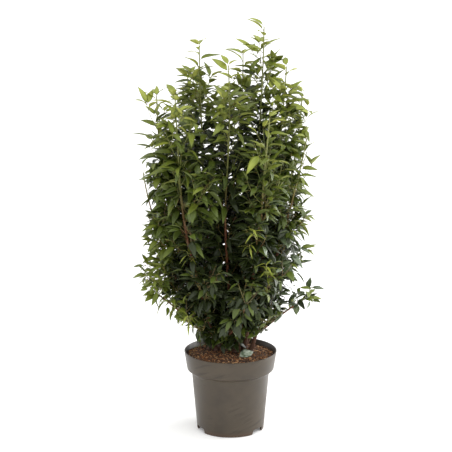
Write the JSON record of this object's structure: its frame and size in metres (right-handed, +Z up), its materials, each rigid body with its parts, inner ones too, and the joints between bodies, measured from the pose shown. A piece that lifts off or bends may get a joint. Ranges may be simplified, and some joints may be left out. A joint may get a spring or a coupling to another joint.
{
  "type": "potted portugal laurel",
  "caption": "Upright evergreen shrub with many slender stems and glossy pointed leaves, bushy from rim to top, in a round tapered nursery pot filled with bark compost.",
  "frame": {"origin": "centre of the pot's flat underside, at ground level", "axes": "+Z up along the pot's axis, -Y towards the viewer of the front, +X to the viewer's right"},
  "size_m": [0.5656, 0.5498, 1.2421],
  "materials": {
    "pot": "taupe-grey moulded polypropylene with a satin surface",
    "compost": "coarse bark chips over dark compost",
    "bark": "smooth red-brown young bark",
    "foliage": "glossy dark green leaves",
    "old_leaf": "dull grey-green fallen leaf"
  },
  "bodies": {
    "root": {"bough_low_back": "bark", "bough_low_front": "bark", "bough_low_left": "bark", "bough_low_right": "bark", "compost": "compost", "fallen_leaf": "old_leaf", "leader_foliage_back": "foliage", "leader_foliage_back_left": "foliage", "leader_foliage_back_right": "foliage", "leader_foliage_far_left": "foliage", "leader_foliage_front": "foliage", "leader_foliage_front_left": "foliage", "leader_foliage_front_right": "foliage", "leader_foliage_left": "foliage", "leader_foliage_outer_right": "foliage", "leader_foliage_right": "foliage", "leader_foliage_tall_left": "foliage", "leader_foliage_tall_right": "foliage", "leader_foliage_upper_right": "foliage", "low_back_foliage": "foliage", "low_front_foliage": "foliage", "low_left_foliage": "foliage", "low_right_foliage": "foliage", "pot": "pot", "side_foliage_1_1": "foliage", "side_foliage_1_2": "foliage", "side_foliage_1_3": "foliage", "side_foliage_1_4": "foliage", "side_foliage_2_1": "foliage", "side_foliage_2_2": "foliage", "side_foliage_2_3": "foliage", "side_foliage_2_4": "foliage", "side_foliage_2_5": "foliage", "side_foliage_2_6": "foliage", "side_foliage_3_1": "foliage", "side_foliage_3_2": "foliage", "side_foliage_3_3": "foliage", "side_foliage_3_4": "foliage", "side_foliage_3_5": "foliage", "side_foliage_3_6": "foliage", "side_foliage_3_7": "foliage", "side_foliage_4_1": "foliage", "side_foliage_4_2": "foliage", "side_foliage_4_3": "foliage", "side_foliage_4_4": "foliage", "side_foliage_4_5": "foliage", "side_foliage_4_6": "foliage", "stem_back": "bark", "stem_back_left": "bark", "stem_back_right": "bark", "stem_far_left": "bark", "stem_front": "bark", "stem_front_left": "bark", "stem_front_right": "bark", "stem_left": "bark", "stem_outer_right": "bark", "stem_right": "bark", "stem_tall_left": "bark", "stem_tall_right": "bark", "stem_upper_right": "bark"}
  },
  "joints": []
}
